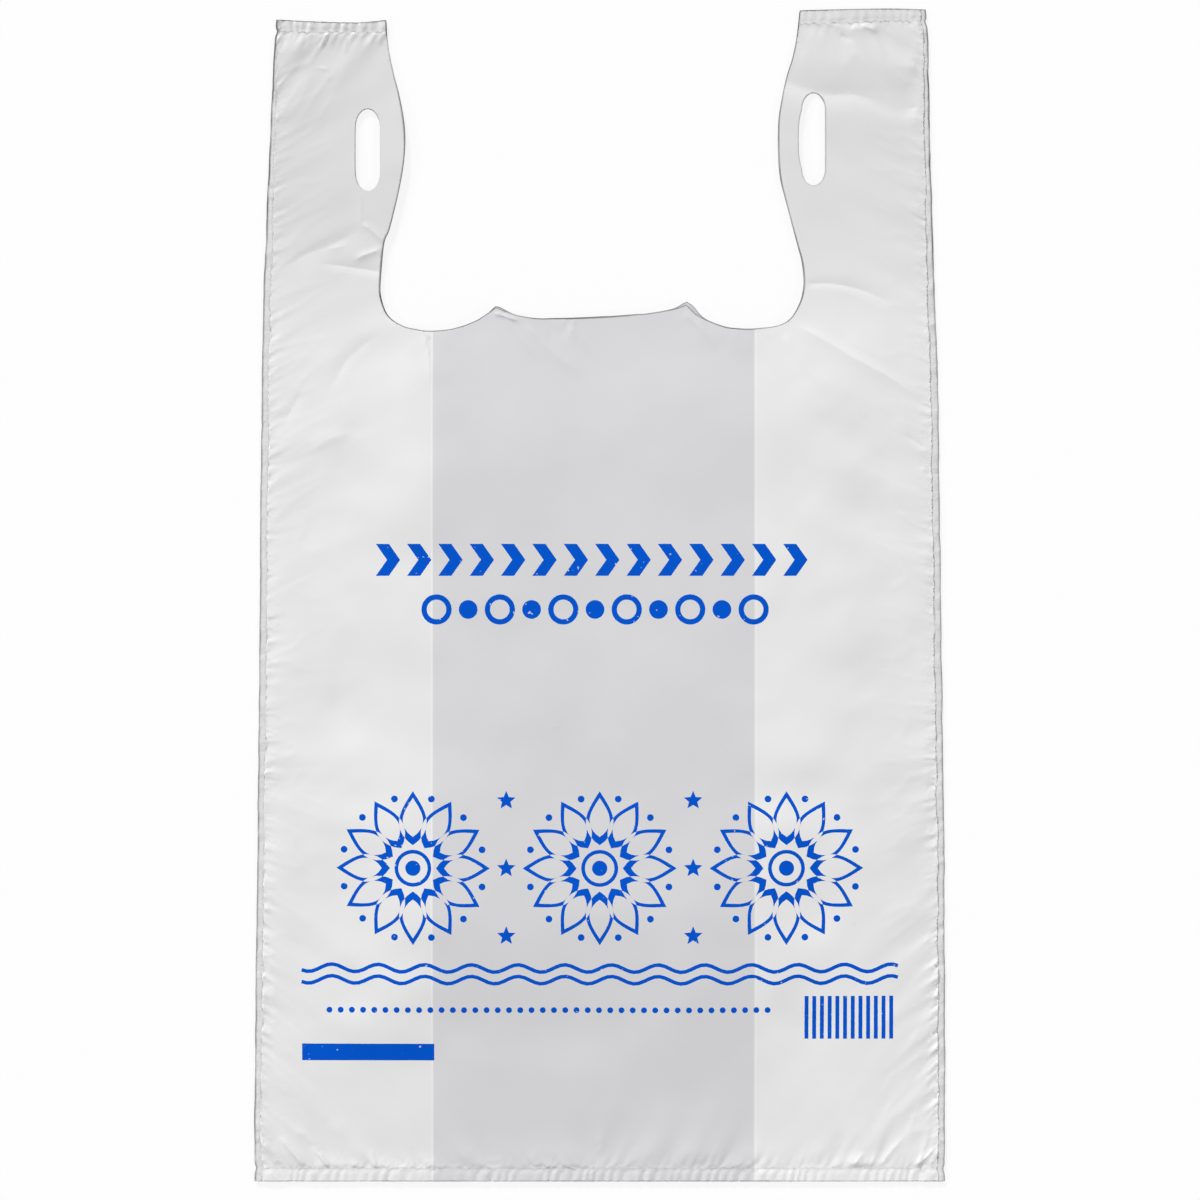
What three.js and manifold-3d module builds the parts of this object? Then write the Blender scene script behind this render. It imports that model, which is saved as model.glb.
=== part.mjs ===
import * as THREE from 'three';
import { mergeVertices } from 'three/addons/utils/BufferGeometryUtils.js';
import Module from 'manifold-3d';

// A carrier bag of thin blown film, lying on its back panel with its handles towards +Y.
// It is one tube of film: its sides are folded in as gussets, both ends are welded across,
// and one die cut through all four layers leaves two handles and an open mouth.
// X runs across the bag, Y along it and Z up from the surface that it lies on.
// Sizes are in millimetres. "Along" is a height above the bottom edge, before the top is slanted.

// Outline
const OVERALL_LENGTH = 504;
const BOTTOM_WIDTH = 297;
const HANDLE_STEP = 4.6; // the left handle ends this much lower than the right one
const HANDLE_LENGTH = 138.6; // from the mouth's lowest point to the top of the right handle
const MOUTH_DRAW = 3.7; // how far each side has drawn in at the mouth
const LEFT_TOP_DRAW = 9.5; // and at the top of each handle
const RIGHT_TOP_DRAW = 8.3;

// Film and the spaces between its layers
const FILM = 0.3;
const LAYER_GAP = 0.3; // between the two layers of one lobe, at its fold
const POCKET_GAP = 0.4; // between the front and back lobes, inside a folded gusset

// Gussets
const LEFT_GUSSET_FOLD = 71.4; // from the middle line to the inner fold
const RIGHT_GUSSET_FOLD = 66.2;
const FRONT_SETBACK = 2.7; // each front fold lies this far inside the back fold

// Welds and the skirts of film past them
const WELD_WIDTH = 1.2;
const WELD_HEIGHT = 1;
const WELD_MARGIN = 1.6; // from a weld to the first space between the layers
const BOTTOM_SKIRT = 5.5;
const TOP_SKIRT = 5;
const SKIRT_HEIGHT = 1.3;
const SKIRT_RISE = 1; // length over which a skirt rises from its weld

// How far the lying bag puffs up, and how soon
const BODY_CROWN = 10.5;
const HANDLE_CROWN = 5;
const SIDE_RISE = 58; // from a side fold to the full height
const BOTTOM_RISE = 62; // from the bottom weld to the full height
const TOP_RISE = 40; // from the top weld to the full height
const CROWN_CHANGE = 80; // length over which the body's height passes into the handles'
const CHANGE_BELOW_MOUTH = 16; // and how far below the mouth that starts

// Gathers, small puckers that the folds and welds pull into the front panel
const SIDE_PITCH = 20;
const SIDE_GATHER = 0.8; // height
const SIDE_REACH = 22; // length into the panel
const WELD_PITCH = 27.5;
const WELD_GATHER = 1.1;
const WELD_REACH = 30;

// The die cut's edges. A handle's inner edge is given as distance from the middle line and share of the
// way up the handle, and the scoops and the mouth as distance and height above the mouth's lowest point
const LEFT_TOP_INNER = 91.8; // where the inner edge meets the top edge
const RIGHT_TOP_INNER = 86.1;
const LEFT_HANDLE_EDGE = [[88.2, 0.8], [83.8, 0.59], [86.6, 0.4], [94.2, 0.16]];
const RIGHT_HANDLE_EDGE = [[82, 0.82], [76.8, 0.605], [79.6, 0.42], [88.2, 0.15]];
const LEFT_SCOOP = [[90.2, 6.4], [80.6, 0.5], [72, 0], [60, 1.6], [50.4, 5.7]];
const RIGHT_SCOOP = [[83.2, 7.4], [75.5, 2.2], [64, 0.7], [52.2, 2.1], [42.2, 6.5]];
const LEFT_PEAK = [44.6, 10.4];
const RIGHT_PEAK = [37.2, 11.9];
const MOUTH_EDGE = [[-34.6, 6.6], [-22, 5.2], [8.9, 6.2], [29.4, 8.7]];

// Finger slots with oval ends: the centre from the middle line and from the handle's top edge,
// and how far the side towards the middle line bulges out
const LEFT_SLOT = { fromMiddle: 99.6, fromTop: 56.3, width: 11.2, length: 36.3, roundEnd: 8, bulge: 0.2 };
const RIGHT_SLOT = { fromMiddle: 92.4, fromTop: 54.9, width: 10.2, length: 40.4, roundEnd: 7, bulge: 2 };

// Long soft folds of the front panel. Each start and end is a distance in from the side's outer fold
// and a height from the level, which is the bottom edge, the mouth's lowest point or the top
const BOTTOM_FOLDS = [
  { side: -1, from: [6, 60], to: [30, 14], halfWidth: 9, height: 1.6 },
  { side: 1, from: [6, 62], to: [36, 12], halfWidth: 9, height: 1.6 },
];
const MOUTH_FOLDS = [
  { side: -1, from: [8, 33], to: [43, 59], halfWidth: 9, height: 1.2 },
  { side: -1, from: [47, -5], to: [17, -47], halfWidth: 10, height: 1.3 },
  { side: -1, from: [8, -75], to: [50, -53], halfWidth: 10, height: 0.9 },
  { side: 1, from: [51, 13], to: [9, -9], halfWidth: 9, height: 1.4 },
  { side: 1, from: [55, 1], to: [21, -39], halfWidth: 10, height: 1.2 },
  { side: 1, from: [8, -65], to: [48, -93], halfWidth: 10, height: 0.9 },
];
const TOP_FOLDS = [
  { side: -1, from: [11, -16], to: [39, -120], halfWidth: 9, height: 1.4 },
  { side: 1, from: [49, -16], to: [5, -34], halfWidth: 8, height: 1.6 },
];
const FOLD_FADE = 9; // folds die out over this length before a side fold or a weld

// How finely the film is divided
const SIDE_COLUMNS = [0.07, 0.15, 0.27, 0.43, 0.7]; // shares of the way from a side fold to the inner fold
const MIDDLE_COLUMNS = 10; // steps between the inner folds
const POCKET_ROWS = 4; // the pockets have one row for so many of the front panel's
const EDGE_STEPS = 26; // along one handle's inner edge
const MOUTH_STEPS = 10;
const SLOT_STEPS = 6; // along a slot's side, and twice as many round an end

const FILM_COLOUR = 0xe6e7e9;
const FILM_ROUGHNESS = 0.42;
const CUT_CLEAR = 6; // room that a cutting solid keeps outside what it cuts

const wasm = await Module();
wasm.setup();

const left = { sign: -1, topDraw: LEFT_TOP_DRAW, innerFold: LEFT_GUSSET_FOLD };
const right = { sign: 1, topDraw: RIGHT_TOP_DRAW, innerFold: RIGHT_GUSSET_FOLD };

const mouthLevel = OVERALL_LENGTH - HANDLE_LENGTH;
const bottomWeld = BOTTOM_SKIRT;
const topWeld = OVERALL_LENGTH - TOP_SKIRT;
const halfWeld = WELD_WIDTH / 2;
const firstSpace = bottomWeld + halfWeld + WELD_MARGIN;
const lastSpace = topWeld - halfWeld - WELD_MARGIN;
const lobeHeight = 2 * FILM + LAYER_GAP;
const edgeHeight = 2 * lobeHeight + POCKET_GAP;
const skyHeight = BODY_CROWN + SIDE_GATHER + WELD_GATHER + CUT_CLEAR;
const gathers = Math.round((lastSpace - firstSpace) / SIDE_PITCH);
const rowStep = (lastSpace - firstSpace) / (2 * gathers);

const between = (from, to, share) => from + (to - from) * share;
const clamped = (value) => Math.min(Math.max(value, 0), 1);
const smooth = (share) => clamped(share) ** 2 * (3 - 2 * clamped(share));
const easeOut = (share) => clamped(share) * (2 - clamped(share));
const sideOf = (x) => (x < 0 ? left : right);

// Half the bag's width on one side, at a height above the bottom edge
function halfWidthAt(side, along) {
  const toMouth = clamped(along / mouthLevel);
  const toTop = clamped((along - mouthLevel) / HANDLE_LENGTH);
  return BOTTOM_WIDTH / 2 - MOUTH_DRAW * toMouth - (side.topDraw - MOUTH_DRAW) * toTop;
}

// Distance into the front panel from its nearer side fold
function fromSideFold(x, along) {
  return halfWidthAt(sideOf(x), along) - FRONT_SETBACK - Math.abs(x);
}

// The top edge slants: how far it takes a point down towards the left handle
function slantAt(x, along) {
  const rightTop = halfWidthAt(right, OVERALL_LENGTH);
  const across = clamped((rightTop - x) / (rightTop + halfWidthAt(left, OVERALL_LENGTH)));
  return HANDLE_STEP * across * smooth((along - mouthLevel) / HANDLE_LENGTH);
}

const yAt = (x, along) => along - slantAt(x, along) - OVERALL_LENGTH / 2;

// How far inside the nearer weld's edge a height lies, below 0 within the weld and past it
const insideWelds = (along) => Math.min(along - bottomWeld, topWeld - along) - halfWeld;

// The front panel's height without gathers and folds
function calmHeight(x, along) {
  const inside = insideWelds(along);
  if (inside < -WELD_WIDTH) {
    return between(WELD_HEIGHT, SKIRT_HEIGHT, clamped((-inside - WELD_WIDTH) / SKIRT_RISE));
  }
  if (inside < WELD_MARGIN) return between(WELD_HEIGHT, edgeHeight, clamped(inside / WELD_MARGIN));
  const change = smooth((along - mouthLevel + CHANGE_BELOW_MOUTH) / CROWN_CHANGE);
  const crown = between(BODY_CROWN, HANDLE_CROWN, change);
  const across = easeOut(fromSideFold(x, along) / SIDE_RISE);
  const upward = easeOut((along - firstSpace) / BOTTOM_RISE) * easeOut((lastSpace - along) / TOP_RISE);
  return edgeHeight + (crown - edgeHeight) * across * upward;
}

// The top of the back lobe, which is the floor of the gusset's pocket
function pocketFloor(x, along) {
  const open = clamped(insideWelds(along) / WELD_MARGIN);
  return (calmHeight(x, along) - POCKET_GAP * open) / 2;
}

// A gather rises from nothing, is highest a third of the way in and dies out at its reach
function gatherShare(distance, reach) {
  const share = clamped(distance / reach);
  return share < 1 / 3 ? 3 * share : 1.5 * (1 - share);
}

// Gathers only rise, so that the layers under them stay apart
function gatherHeight(x, along) {
  const wave = 0.5 + 0.5 * Math.cos(Math.PI * (along - firstSpace) / rowStep);
  const uneven = 0.65 + 0.35 * Math.sin(along / (2 * SIDE_PITCH));
  const weldWave = 0.5 + 0.5 * Math.cos(2 * Math.PI * x / WELD_PITCH);
  const fromSpaceEnd = Math.min(along - firstSpace, lastSpace - along);
  const fromSides = SIDE_GATHER * uneven * wave * gatherShare(fromSideFold(x, along), SIDE_REACH);
  return fromSides + WELD_GATHER * weldWave * gatherShare(fromSpaceEnd, WELD_REACH);
}

// The folds with their starts and ends as X and height above the bottom edge
function placedFolds(list, level) {
  return list.map(({ side, from, to, halfWidth, height }) => {
    const place = ([inside, up]) => {
      const x = side * (halfWidthAt(side < 0 ? left : right, level + up) - inside);
      return new THREE.Vector2(x, level + up);
    };
    return { start: place(from), end: place(to), halfWidth, height };
  });
}

const folds = [
  ...placedFolds(BOTTOM_FOLDS, 0),
  ...placedFolds(MOUTH_FOLDS, mouthLevel),
  ...placedFolds(TOP_FOLDS, OVERALL_LENGTH),
];

// The height of the long folds at one point, each highest halfway along
function foldHeight(x, along) {
  const point = new THREE.Vector2(x, along);
  return folds.reduce((sum, { start, end, halfWidth, height }) => {
    const run = end.clone().sub(start);
    const share = clamped(point.clone().sub(start).dot(run) / run.lengthSq());
    const away = point.distanceTo(start.clone().addScaledVector(run, share)) / halfWidth;
    return sum + height * Math.sin(Math.PI * between(0.15, 0.85, share)) * smooth(1 - away);
  }, 0);
}

function frontHeight(x, along) {
  const inside = Math.min(along - firstSpace, lastSpace - along, fromSideFold(x, along));
  return calmHeight(x, along) + gatherHeight(x, along) + smooth(inside / FOLD_FADE) * foldHeight(x, along);
}

// A column gives X at each height. One lies a distance inside the outer fold of a side
const columnInside = (side, distance) => (along) => side.sign * (halfWidthAt(side, along) - distance);

// Another lies at a share of the way from the front fold of a side to its inner fold
function columnShare(side, share) {
  return (along) => side.sign * between(halfWidthAt(side, along) - FRONT_SETBACK, side.innerFold, share);
}

// Columns across the front panel, with the first two on each side moved in by a wall
function panelColumns(wall) {
  const edges = (side) => [wall, FRONT_SETBACK + wall].map((distance) => columnInside(side, distance));
  const shares = (side) => SIDE_COLUMNS.map((share) => columnShare(side, share));
  const middle = Array.from({ length: MIDDLE_COLUMNS + 1 }, (_, index) => {
    return () => between(-left.innerFold, right.innerFold, index / MIDDLE_COLUMNS);
  });
  return [
    ...edges(left),
    ...shares(left),
    ...middle,
    ...shares(right).reverse(),
    ...edges(right).reverse(),
  ];
}

// Rows along the open part of the bag, one on each crest and each valley of the gathers
function openRows(every) {
  const count = 2 * gathers;
  const rows = Array.from({ length: count + 1 }, (_, index) => firstSpace + index * rowStep);
  return rows.filter((_, index) => index % every === 0 || index === count);
}

// The rows of a welded end, from the skirt's edge to the last row before the open part
function bottomRows() {
  const weldEnd = bottomWeld - halfWeld;
  return [0, weldEnd - SKIRT_RISE, weldEnd, bottomWeld + halfWeld];
}

function topRows() {
  const weldEnd = topWeld + halfWeld;
  return [topWeld - halfWeld, weldEnd, weldEnd + SKIRT_RISE, OVERALL_LENGTH];
}

function solidFrom(vertProperties, triVerts) {
  return new wasm.Manifold(new wasm.Mesh({ numProp: 3, vertProperties, triVerts }));
}

// Faces between the rows of a grid, in fours of point numbers that go round each face
function gridFaces(width, rowCount) {
  const faces = [];
  for (let start = 0; start < (rowCount - 1) * width; start += width) {
    for (let a = start; a < start + width - 1; a += 1) faces.push([a, a + 1, a + width + 1, a + width]);
  }
  return faces;
}

// A flat face needs no points inside: strips from side to side, and a fan at each end
function flatFaces(width, rowCount) {
  const last = (rowCount - 1) * width;
  const faces = [];
  for (let a = 0; a < width - 1; a += 1) {
    faces.push([a, a + 1, width]);
    faces.push([last - width, last + a + 1, last + a]);
  }
  faces.push([width - 1, 2 * width - 1, width], [last - width, last - 1, last + width - 1]);
  for (let start = width; start < last - width; start += width) {
    faces.push([start, start + width - 1, start + 2 * width - 1, start + width]);
  }
  return faces;
}

// The walls round a grid, from its lower points to the points numbered count higher
function wallFaces(width, rowCount, count) {
  const wall = (a, b) => [a, b, count + b, count + a];
  const faces = [];
  for (let start = 0; start < count - width; start += width) {
    faces.push(wall(start + width, start), wall(start + width - 1, start + 2 * width - 1));
  }
  for (let a = 0; a < width - 1; a += 1) {
    faces.push(wall(a, a + 1), wall(count - width + a + 1, count - width + a));
  }
  return faces;
}

// A closed solid between two heights, on a grid of columns and rows. The lower one may be one flat height
function gridSolid(columns, rows, low, highAt) {
  const flat = typeof low === 'number';
  const count = columns.length * rows.length;
  const positions = new Float32Array(6 * count);
  rows.forEach((along, row) => {
    columns.forEach((columnAt, column) => {
      const x = columnAt(along);
      const index = row * columns.length + column;
      positions.set([x, yAt(x, along), flat ? low : low(x, along)], 3 * index);
      positions.set([x, yAt(x, along), highAt(x, along)], 3 * (count + index));
    });
  });
  const upper = gridFaces(columns.length, rows.length).map((face) => face.map((point) => point + count));
  const under = (flat ? flatFaces : gridFaces)(columns.length, rows.length).map((face) => face.reverse());
  const faces = [...upper, ...under, ...wallFaces(columns.length, rows.length, count)];
  return solidFrom(positions, new Uint32Array(faces.flatMap(inTriangles)));
}

// A face of three or four points as one or two triangles
const inTriangles = ([a, b, c, d]) => (d === undefined ? [a, b, c] : [a, b, c, a, c, d]);

// The whole bag as one solid slab, from the surface under it to the top of the front panel
function slab() {
  const rows = [...bottomRows(), ...openRows(1), ...topRows()];
  return gridSolid(panelColumns(0), rows, 0, frontHeight);
}

// The space inside the bag, one film thickness inside the slab
function insideSpace() {
  return gridSolid(panelColumns(FILM), openRows(1), FILM, (x, along) => frontHeight(x, along) - FILM);
}

// The space between the front and back lobes of one side, open to the outside. It is grown by
// a wall to give the space that the gusset's film and its pocket take up together
function pocket(side, wall) {
  const columns = [
    columnInside(side, -CUT_CLEAR),
    columnInside(side, 0),
    columnInside(side, FRONT_SETBACK + wall),
    ...SIDE_COLUMNS.map((share) => columnShare(side, share)),
    () => side.sign * (side.innerFold + FILM - wall),
  ];
  const floor = (x, along) => pocketFloor(x, along) - wall;
  const ceiling = (x, along) => pocketFloor(x, along) + POCKET_GAP + wall;
  return gridSolid(inOrder(side, columns), openRows(POCKET_ROWS), floor, ceiling);
}

// The step down from the front fold of one side to the back lobe that shows beside it
function setback(side, wall) {
  const columns = [
    columnInside(side, -CUT_CLEAR),
    columnInside(side, 0),
    columnInside(side, FRONT_SETBACK + wall),
  ];
  const covered = [...bottomRows(), ...openRows(POCKET_ROWS), ...topRows()];
  const rows = [-CUT_CLEAR, ...covered, OVERALL_LENGTH + CUT_CLEAR];
  return gridSolid(inOrder(side, columns), rows, (x, along) => pocketFloor(x, along) - wall, () => skyHeight);
}

// Columns run from left to right
const inOrder = (side, columns) => (side === left ? columns : columns.reverse());

// A vertical cutter of an outline of points in X and Y
function cutter(points) {
  const depth = skyHeight + 2 * CUT_CLEAR;
  const geometry = new THREE.ExtrudeGeometry(new THREE.Shape(points), { depth, bevelEnabled: false });
  geometry.translate(0, 0, -CUT_CLEAR);
  geometry.deleteAttribute('normal');
  geometry.deleteAttribute('uv');
  const merged = mergeVertices(geometry);
  return solidFrom(merged.attributes.position.array, new Uint32Array(merged.index.array));
}

// A point of the die cut's edge, on a side and a height above the mouth's lowest point
function edgePoint(side, [fromMiddle, aboveMouth]) {
  return new THREE.Vector2(side.sign * fromMiddle, mouthLevel + aboveMouth - OVERALL_LENGTH / 2);
}

// The inner edge of one handle, from above its top corner down round the scoop to the mouth's peak
function handleEdge(side, topInner, handlePairs, scoopPairs) {
  const x = side.sign * topInner;
  const corner = new THREE.Vector2(x, yAt(x, OVERALL_LENGTH));
  const onHandle = handlePairs.map(([fromMiddle, share]) => [fromMiddle, share * HANDLE_LENGTH]);
  const points = [...onHandle, ...scoopPairs].map((pair) => edgePoint(side, pair));
  const curve = new THREE.SplineCurve([corner, ...points]);
  return [new THREE.Vector2(x, corner.y + CUT_CLEAR), ...curve.getPoints(EDGE_STEPS)];
}

// The cut that leaves the two handles and the mouth
function mouthCutter() {
  const leftEdge = handleEdge(left, LEFT_TOP_INNER, LEFT_HANDLE_EDGE, [...LEFT_SCOOP, LEFT_PEAK]);
  const rightEdge = handleEdge(right, RIGHT_TOP_INNER, RIGHT_HANDLE_EDGE, [...RIGHT_SCOOP, RIGHT_PEAK]);
  const dip = MOUTH_EDGE.map((pair) => edgePoint(right, pair));
  const mouth = new THREE.SplineCurve([leftEdge.at(-1), ...dip, rightEdge.at(-1)]).getPoints(MOUTH_STEPS);
  return cutter([...leftEdge, ...mouth.slice(1, -1), ...rightEdge.reverse()]);
}

// A finger slot, with oval ends and the side towards the middle line bulging out
function slotCutter(side, slot) {
  const x = side.sign * slot.fromMiddle;
  const y = yAt(x, OVERALL_LENGTH) - slot.fromTop;
  const half = slot.width / 2;
  const straight = slot.length / 2 - slot.roundEnd;
  const [bulgeLeft, bulgeRight] = side === right ? [slot.bulge, 0] : [0, slot.bulge];
  const shape = new THREE.Shape();
  shape.absellipse(x, y + straight, half, slot.roundEnd, 0, Math.PI);
  shape.quadraticCurveTo(x - half - 2 * bulgeLeft, y, x - half, y - straight);
  shape.absellipse(x, y - straight, half, slot.roundEnd, Math.PI, 2 * Math.PI);
  shape.quadraticCurveTo(x + half + 2 * bulgeRight, y, x + half, y + straight);
  return cutter(shape.getPoints(SLOT_STEPS));
}

function bagSolid() {
  const films = [pocket(left, FILM), pocket(right, FILM), setback(left, FILM), setback(right, FILM)];
  const cuts = [
    films.reduce((space, film) => space.subtract(film), insideSpace()),
    pocket(left, 0),
    pocket(right, 0),
    setback(left, 0),
    setback(right, 0),
    mouthCutter(),
    slotCutter(left, LEFT_SLOT),
    slotCutter(right, RIGHT_SLOT),
  ];
  return cuts.reduce((bag, cut) => bag.subtract(cut), slab());
}

// A three.js mesh of a finished solid, with one flat normal for each triangle
function meshOf(solid, name, material) {
  const { vertProperties, triVerts } = solid.getMesh();
  const geometry = new THREE.BufferGeometry();
  geometry.setAttribute('position', new THREE.BufferAttribute(vertProperties, 3));
  geometry.setIndex(new THREE.BufferAttribute(triVerts, 1));
  geometry.computeVertexNormals();
  const mesh = new THREE.Mesh(geometry, material);
  mesh.name = name;
  return mesh;
}

const film = new THREE.MeshStandardMaterial({
  color: FILM_COLOUR,
  roughness: FILM_ROUGHNESS,
  flatShading: true,
});
const bag = new THREE.Group();
bag.add(meshOf(bagSolid(), 'carrier_bag', film));

export default bag;
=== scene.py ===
# %% [markdown]
# # A carrier bag of thin blown film
#
# The bag is one tube of polyethylene film. Its sides are folded in, both ends are welded across, and
# one cut through all four layers leaves two handles and the mouth. It lies flat on its back.
#
# Cloth simulation could crumple it, but film hardly drapes: it keeps the folds that the machine pressed
# into it. So the shape is written as heights above the table, one formula for each thing that lifts the
# film, and a mesh is laid over them that is fine only where the film bends sharply.

import math

import bmesh
import bpy
import numpy as np
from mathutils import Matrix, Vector, kdtree
from mathutils.geometry import delaunay_2d_cdt


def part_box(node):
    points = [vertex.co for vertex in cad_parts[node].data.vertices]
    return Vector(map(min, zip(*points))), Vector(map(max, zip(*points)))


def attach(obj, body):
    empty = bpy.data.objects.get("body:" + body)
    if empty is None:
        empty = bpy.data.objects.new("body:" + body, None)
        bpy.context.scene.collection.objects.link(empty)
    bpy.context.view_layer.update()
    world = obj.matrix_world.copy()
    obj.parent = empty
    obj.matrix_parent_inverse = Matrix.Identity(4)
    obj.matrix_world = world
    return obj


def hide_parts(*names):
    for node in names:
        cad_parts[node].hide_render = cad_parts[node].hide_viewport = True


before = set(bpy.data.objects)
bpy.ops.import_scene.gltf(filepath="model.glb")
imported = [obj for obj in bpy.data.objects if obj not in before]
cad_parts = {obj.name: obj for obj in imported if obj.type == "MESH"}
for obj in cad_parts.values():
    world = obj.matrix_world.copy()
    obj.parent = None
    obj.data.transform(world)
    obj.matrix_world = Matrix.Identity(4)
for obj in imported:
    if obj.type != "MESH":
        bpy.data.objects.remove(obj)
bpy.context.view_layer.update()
lowest, highest = (np.array(corner) * 1000 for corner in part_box("carrier_bag"))
print("the CAD model is", np.round(highest - lowest, 1), "mm")

# %% [markdown]
# ## Ripples
#
# Film never lies dead flat. Smooth noise on a lattice gives ripples of any size: random heights at whole
# numbers, blended in between. Stretching one direction of the lattice turns bumps into wrinkles, and
# shearing it slants them. A fixed seed gives the same ripples on every run.

# %% Smooth noise
LATTICE = 128


def clamped(value):
    return np.clip(value, 0, 1)


def smooth(share):
    share = clamped(share)
    return share * share * (3 - 2 * share)


def ease_out(share):
    share = clamped(share)
    return share * (2 - share)


def ripples(u, v, seed):
    """Noise from -1 to 1 that changes over one unit of u and of v."""
    heights = np.random.default_rng(seed).uniform(-1, 1, (LATTICE, LATTICE))
    column, row = np.floor(u).astype(int), np.floor(v).astype(int)
    across, up = smooth(u - column), smooth(v - row)
    a, b = column % LATTICE, (column + 1) % LATTICE
    c, d = row % LATTICE, (row + 1) % LATTICE
    low = heights[a, c] * (1 - across) + heights[b, c] * across
    high = heights[a, d] * (1 - across) + heights[b, d] * across
    return low * (1 - up) + high * up


def creases(u, v, seed, width=0.32):
    """Sharp ridges from 0 to 1, along the lines where the noise passes through zero."""
    return clamped(1 - np.abs(ripples(u, v, seed)) / width) ** 2


# %% [markdown]
# ## The outline
#
# Lengths are in millimetres until the mesh is made. X runs across the bag, Y towards the handles and Z up.
# A bag like this is never quite straight: its sides draw in towards the handles, a little more at each
# weld, and the left handle ends lower than the right one. The side folds are the bag's half width less
# how far they have drawn in, and the cut edge is a smooth curve through a few points.

# %% Folds, welds and edges
HALF_WIDTH = highest[0]
BOTTOM = lowest[1]
BOTTOM_WELD = BOTTOM + 5.6
WELD_NOTCH = 0.7  # how much further the sides draw in at a weld
WELD_WIDTH = 1.2
INNER_FOLDS = (-71.4, 66.2)  # where the gussets end inside the bag

# Y, and how far the back fold has drawn in there
LEFT_DRAW = [(-252, 0.3), (-243, 0), (-208, 0.2), (-62, 1.9), (15, 2.5), (92, 3.2), (110, 3.7), (135, 4.2),
             (178, 5.9), (206, 7.2), (231, 8.2), (247.2, 9.5)]
RIGHT_DRAW = [(-252, 0.3), (-208, 0), (-118, 0.3), (-62, 1), (-19, 1.6), (92, 3), (107, 3.6), (135, 4.7),
              (162, 5.5), (185, 6.2), (206, 6.6), (239, 7.3), (251.6, 8.3)]

# Y, and how far the front fold lies inside the back fold there
LEFT_SETBACK = [(-252, 2.8), (150, 3.1), (195, 2.2), (225, 1.7), (247, 1.2)]
RIGHT_SETBACK = [(-252, 2.8), (120, 3.2), (150, 2.9), (200, 2.3), (250, 2.1)]

# The handles' top edges and top welds, as X and Y
LEFT_TOP = [(-139, 247.2), (-122, 246.4), (-104, 246), (-91.8, 247.1)]
RIGHT_TOP = [(86, 251.2), (104, 251.7), (126.5, 252), (140.2, 251.6)]
TOP_WELD = [(-139, 241.9), (-91.8, 241.7), (86, 245.2), (108, 245.7), (118, 246.5), (140.2, 246.7)]

# The cut edge, from the right handle's top corner down to the mouth's right peak, across the mouth, and
# up from its left peak to the left handle's top corner
RIGHT_CUT = [(86, 251.2), (84.8, 240.4), (83, 231.3), (80.3, 222.3), (78.4, 213.3), (77.1, 204.2),
             (77, 191.3), (77.7, 179.7), (79.7, 170.7), (84.8, 151.4), (87, 143.6), (88, 135.9),
             (87.6, 130.7), (86.1, 125.6), (82.3, 119.1), (77.1, 115.9), (68.1, 114.4), (60, 114.2),
             (52.2, 115.5), (42.2, 119.9), (37.2, 124.6)]
MOUTH_CUT = [(37.2, 124.6), (29.4, 122.1), (8.9, 119.6), (-22, 118.6), (-34.6, 120), (-44.6, 123.4)]
LEFT_CUT = [(-44.6, 123.4), (-52.5, 118), (-61.4, 114.7), (-72, 113.4), (-80, 114.2), (-85.1, 115.7),
            (-91.1, 120.2), (-94.2, 128), (-94.6, 136), (-93, 151), (-90.3, 158), (-86.6, 172.8),
            (-84.2, 187), (-84.1, 199.5), (-86.3, 214.3), (-88.8, 224.7), (-91.1, 236.6), (-91.8, 247.1)]

MOUTH_LINE = sorted([*LEFT_CUT[:7], *MOUTH_CUT, *RIGHT_CUT[14:]])


def reading(pairs, at):
    """Reads a curve that is written as pairs, such as Y and how far the fold has drawn in."""
    return np.interp(at, *zip(*pairs))


PLEATS = 4.4  # distance between the pleats at a weld, about


def pleat_wave(x, spot):
    """Arches side by side from 0 to 1, of uneven width, with a sharp valley between them."""
    return np.abs(np.sin(math.pi * (spot / PLEATS + 0.9 * ripples(x / 9, 0, 23))))


def weld_waver(x):
    """A weld shrinks unevenly, so its line is scalloped: an arch for each pleat."""
    return 0.8 * pleat_wave(x, x) + 0.2 * ripples(x / 1.3, 0, 7) - 0.5


def bottom_weld(x):
    return BOTTOM_WELD + 0.5 * weld_waver(x)


def top_weld(x):
    return reading(TOP_WELD, x) + weld_waver(x)


def from_weld(x, y):
    """How far into the open bag a point lies from the nearer weld, below 0 in the film past it."""
    return np.minimum(y - bottom_weld(x), top_weld(x) - y)


def back_fold(side, y):
    draw = reading(LEFT_DRAW if side < 0 else RIGHT_DRAW, y)
    notch = WELD_NOTCH * np.exp(-((from_weld(np.float64(side * 139), y) / WELD_WIDTH) ** 2))
    waver = 0.16 * ripples(y / 9, side * 5.0, 1) + 0.07 * ripples(y / 2.7, side * 5.0, 2)
    return side * (HALF_WIDTH - draw - notch + waver)


def front_fold(side, y):
    setback = reading(LEFT_SETBACK if side < 0 else RIGHT_SETBACK, y)
    waver = 0.3 * ripples(y / 6.5, side * 5.0, 3) + 0.2 * ripples(y / 2.4, side * 5.0, 4)
    return back_fold(side, y) - side * (setback + waver)


def from_side(x, y, fold=front_fold):
    """How far a point lies inside the nearer side fold, the front one or the back one."""
    return np.minimum(x - fold(-1, y), fold(1, y) - x)


print("half width at the mouth:", round(float(back_fold(1, 113.0)), 1), "mm")

# %% [markdown]
# ## Curves of even steps
#
# The mesh is a triangulation of points, so each edge becomes a row of points at even steps. A Catmull-Rom
# curve passes through every point that it is given, which suits an edge that was measured.

# %% Points along curves
EDGE_STEP = 1.2


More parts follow.
